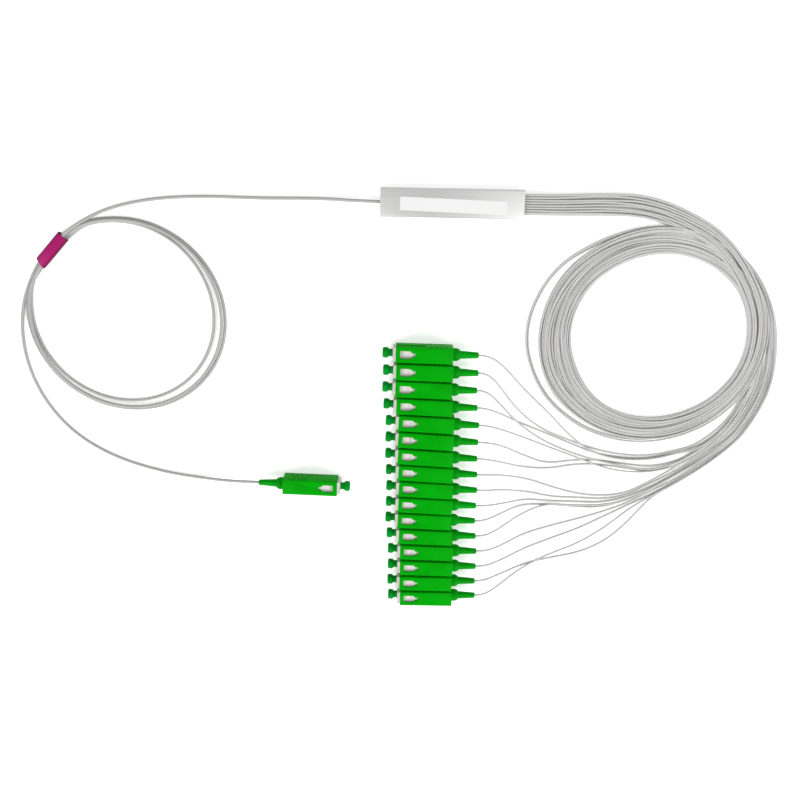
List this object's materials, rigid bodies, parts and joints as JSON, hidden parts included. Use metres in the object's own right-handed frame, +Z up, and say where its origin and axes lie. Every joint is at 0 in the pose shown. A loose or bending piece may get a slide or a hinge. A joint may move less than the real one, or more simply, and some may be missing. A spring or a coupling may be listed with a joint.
{
  "type": "fibre splitter",
  "caption": "Fibre splitter in a flat steel tube: one input cord and a ribbon of output cords, coiled, each ending in a green push-pull plug under a dust cap.",
  "frame": {"origin": "middle of the steel tube's underside, on the surface that everything lies on", "axes": "+X along the steel tube towards the output cords, +Y across it away from the plugs, +Z up"},
  "size_m": [0.3351, 0.1942, 0.009],
  "materials": {
    "satin_steel": "satin stainless steel",
    "plug_resin": "matt resin",
    "chip_glass": "polished glass",
    "label_film": "bare white film",
    "input_cord_jacket": "pale grey-white jacket, semi-matt",
    "output_cord_jacket": "pale grey-white jacket, semi-matt",
    "sleeve_magenta": "soft satin plastic",
    "grip_green": "satin moulded plastic",
    "boot_green": "soft moulded plastic",
    "cap_green": "moulded plastic",
    "frame_white": "satin moulded plastic",
    "ferrule_ceramic": "polished ceramic",
    "flange_metal": "nickel-plated",
    "spring_steel": "bright spring wire"
  },
  "bodies": {
    "splitter": {"steel_tube": "satin_steel", "input_end_plug": "plug_resin", "output_end_plug": "plug_resin", "splitter_chip": "chip_glass", "input_fibre_array": "chip_glass", "output_fibre_array": "chip_glass", "tube_label": "label_film", "input_lead": "input_cord_jacket", "input_coil": "input_cord_jacket", "input_tail": "input_cord_jacket", "output_ribbon": "output_cord_jacket", "output_coil": "output_cord_jacket", "output_tails": "output_cord_jacket", "coil_sleeve": "sleeve_magenta", "input_boot": "boot_green", "output_boots": "boot_green", "input_plug_frame": "frame_white", "output_plug_frames": "frame_white", "output_ferrules": "ferrule_ceramic", "output_ferrule_flanges": "flange_metal", "input_stop_ring": "flange_metal", "output_stop_rings": "flange_metal", "output_springs": "spring_steel", "input_spring": "spring_steel"},
    "input_grip": {"input_grip": "grip_green"},
    "input_ferrule": {"input_ferrule": "ferrule_ceramic", "input_ferrule_flange": "flange_metal"},
    "input_dust_cap": {"input_dust_cap": "cap_green"},
    "output_grip_01": {"output_grip_01": "grip_green"},
    "output_dust_cap_01": {"output_dust_cap_01": "cap_green"},
    "output_grip_02": {"output_grip_02": "grip_green"},
    "output_dust_cap_02": {"output_dust_cap_02": "cap_green"},
    "output_grip_03": {"output_grip_03": "grip_green"},
    "output_dust_cap_03": {"output_dust_cap_03": "cap_green"},
    "output_grip_04": {"output_grip_04": "grip_green"},
    "output_dust_cap_04": {"output_dust_cap_04": "cap_green"},
    "output_grip_05": {"output_grip_05": "grip_green"},
    "output_dust_cap_05": {"output_dust_cap_05": "cap_green"},
    "output_grip_06": {"output_grip_06": "grip_green"},
    "output_dust_cap_06": {"output_dust_cap_06": "cap_green"},
    "output_grip_07": {"output_grip_07": "grip_green"},
    "output_dust_cap_07": {"output_dust_cap_07": "cap_green"},
    "output_grip_08": {"output_grip_08": "grip_green"},
    "output_dust_cap_08": {"output_dust_cap_08": "cap_green"},
    "output_grip_09": {"output_grip_09": "grip_green"},
    "output_dust_cap_09": {"output_dust_cap_09": "cap_green"},
    "output_grip_10": {"output_grip_10": "grip_green"},
    "output_dust_cap_10": {"output_dust_cap_10": "cap_green"},
    "output_grip_11": {"output_grip_11": "grip_green"},
    "output_dust_cap_11": {"output_dust_cap_11": "cap_green"},
    "output_grip_12": {"output_grip_12": "grip_green"},
    "output_dust_cap_12": {"output_dust_cap_12": "cap_green"},
    "output_grip_13": {"output_grip_13": "grip_green"},
    "output_dust_cap_13": {"output_dust_cap_13": "cap_green"},
    "output_grip_14": {"output_grip_14": "grip_green"},
    "output_dust_cap_14": {"output_dust_cap_14": "cap_green"},
    "output_grip_15": {"output_grip_15": "grip_green"},
    "output_dust_cap_15": {"output_dust_cap_15": "cap_green"},
    "output_grip_16": {"output_grip_16": "grip_green"},
    "output_dust_cap_16": {"output_dust_cap_16": "cap_green"}
  },
  "joints": [
    {"name": "input_grip_slide", "type": "slide", "parent": "splitter", "child": "input_grip", "axis": [0.9996, -0.0279, 0], "range_m": [-0.0016, 0.0006]},
    {"name": "input_ferrule_slide", "type": "slide", "parent": "splitter", "child": "input_ferrule", "axis": [0.9996, -0.0279, 0], "range_m": [-0.001, 0], "stiffness_N_per_m": 1500, "deforming": ["input_spring"]},
    {"name": "input_dust_cap_pull", "type": "slide", "parent": "input_ferrule", "child": "input_dust_cap", "axis": [0.9996, -0.0279, 0], "range_m": [0, 0.006]},
    {"name": "output_grip_01_slide", "type": "slide", "parent": "splitter", "child": "output_grip_01", "axis": [-0.9999, 0.0157, 0], "range_m": [-0.0016, 0.0006]},
    {"name": "output_dust_cap_01_pull", "type": "slide", "parent": "splitter", "child": "output_dust_cap_01", "axis": [-0.9999, 0.0157, 0], "range_m": [0, 0.006]},
    {"name": "output_grip_02_slide", "type": "slide", "parent": "splitter", "child": "output_grip_02", "axis": [-0.9998, 0.0209, 0], "range_m": [-0.0016, 0.0006]},
    {"name": "output_dust_cap_02_pull", "type": "slide", "parent": "splitter", "child": "output_dust_cap_02", "axis": [-0.9998, 0.0209, 0], "range_m": [0, 0.006]},
    {"name": "output_grip_03_slide", "type": "slide", "parent": "splitter", "child": "output_grip_03", "axis": [-0.9996, 0.0279, 0], "range_m": [-0.0016, 0.0006]},
    {"name": "output_dust_cap_03_pull", "type": "slide", "parent": "splitter", "child": "output_dust_cap_03", "axis": [-0.9996, 0.0279, 0], "range_m": [0, 0.006]},
    {"name": "output_grip_04_slide", "type": "slide", "parent": "splitter", "child": "output_grip_04", "axis": [-0.9994, 0.0349, 0], "range_m": [-0.0016, 0.0006]},
    {"name": "output_dust_cap_04_pull", "type": "slide", "parent": "splitter", "child": "output_dust_cap_04", "axis": [-0.9994, 0.0349, 0], "range_m": [0, 0.006]},
    {"name": "output_grip_05_slide", "type": "slide", "parent": "splitter", "child": "output_grip_05", "axis": [-0.999, 0.0436, 0], "range_m": [-0.0016, 0.0006]},
    {"name": "output_dust_cap_05_pull", "type": "slide", "parent": "splitter", "child": "output_dust_cap_05", "axis": [-0.999, 0.0436, 0], "range_m": [0, 0.006]},
    {"name": "output_grip_06_slide", "type": "slide", "parent": "splitter", "child": "output_grip_06", "axis": [-0.9987, 0.0506, 0], "range_m": [-0.0016, 0.0006]},
    {"name": "output_dust_cap_06_pull", "type": "slide", "parent": "splitter", "child": "output_dust_cap_06", "axis": [-0.9987, 0.0506, 0], "range_m": [0, 0.006]},
    {"name": "output_grip_07_slide", "type": "slide", "parent": "splitter", "child": "output_grip_07", "axis": [-0.9986, 0.0523, 0], "range_m": [-0.0016, 0.0006]},
    {"name": "output_dust_cap_07_pull", "type": "slide", "parent": "splitter", "child": "output_dust_cap_07", "axis": [-0.9986, 0.0523, 0], "range_m": [0, 0.006]},
    {"name": "output_grip_08_slide", "type": "slide", "parent": "splitter", "child": "output_grip_08", "axis": [-0.9988, 0.0489, 0], "range_m": [-0.0016, 0.0006]},
    {"name": "output_dust_cap_08_pull", "type": "slide", "parent": "splitter", "child": "output_dust_cap_08", "axis": [-0.9988, 0.0489, 0], "range_m": [0, 0.006]},
    {"name": "output_grip_09_slide", "type": "slide", "parent": "splitter", "child": "output_grip_09", "axis": [-0.999, 0.0436, 0], "range_m": [-0.0016, 0.0006]},
    {"name": "output_dust_cap_09_pull", "type": "slide", "parent": "splitter", "child": "output_dust_cap_09", "axis": [-0.999, 0.0436, 0], "range_m": [0, 0.006]},
    {"name": "output_grip_10_slide", "type": "slide", "parent": "splitter", "child": "output_grip_10", "axis": [-0.9992, 0.0401, 0], "range_m": [-0.0016, 0.0006]},
    {"name": "output_dust_cap_10_pull", "type": "slide", "parent": "splitter", "child": "output_dust_cap_10", "axis": [-0.9992, 0.0401, 0], "range_m": [0, 0.006]},
    {"name": "output_grip_11_slide", "type": "slide", "parent": "splitter", "child": "output_grip_11", "axis": [-0.9994, 0.0349, 0], "range_m": [-0.0016, 0.0006]},
    {"name": "output_dust_cap_11_pull", "type": "slide", "parent": "splitter", "child": "output_dust_cap_11", "axis": [-0.9994, 0.0349, 0], "range_m": [0, 0.006]},
    {"name": "output_grip_12_slide", "type": "slide", "parent": "splitter", "child": "output_grip_12", "axis": [-0.9996, 0.0279, 0], "range_m": [-0.0016, 0.0006]},
    {"name": "output_dust_cap_12_pull", "type": "slide", "parent": "splitter", "child": "output_dust_cap_12", "axis": [-0.9996, 0.0279, 0], "range_m": [0, 0.006]},
    {"name": "output_grip_13_slide", "type": "slide", "parent": "splitter", "child": "output_grip_13", "axis": [-0.9997, 0.0227, 0], "range_m": [-0.0016, 0.0006]},
    {"name": "output_dust_cap_13_pull", "type": "slide", "parent": "splitter", "child": "output_dust_cap_13", "axis": [-0.9997, 0.0227, 0], "range_m": [0, 0.006]},
    {"name": "output_grip_14_slide", "type": "slide", "parent": "splitter", "child": "output_grip_14", "axis": [-0.9998, 0.0175, 0], "range_m": [-0.0016, 0.0006]},
    {"name": "output_dust_cap_14_pull", "type": "slide", "parent": "splitter", "child": "output_dust_cap_14", "axis": [-0.9998, 0.0175, 0], "range_m": [0, 0.006]},
    {"name": "output_grip_15_slide", "type": "slide", "parent": "splitter", "child": "output_grip_15", "axis": [-1, 0.0087, 0], "range_m": [-0.0016, 0.0006]},
    {"name": "output_dust_cap_15_pull", "type": "slide", "parent": "splitter", "child": "output_dust_cap_15", "axis": [-1, 0.0087, 0], "range_m": [0, 0.006]},
    {"name": "output_grip_16_slide", "type": "slide", "parent": "splitter", "child": "output_grip_16", "axis": [-1, -0.0017, 0], "range_m": [-0.0016, 0.0006]},
    {"name": "output_dust_cap_16_pull", "type": "slide", "parent": "splitter", "child": "output_dust_cap_16", "axis": [-1, -0.0017, 0], "range_m": [0, 0.006]}
  ]
}
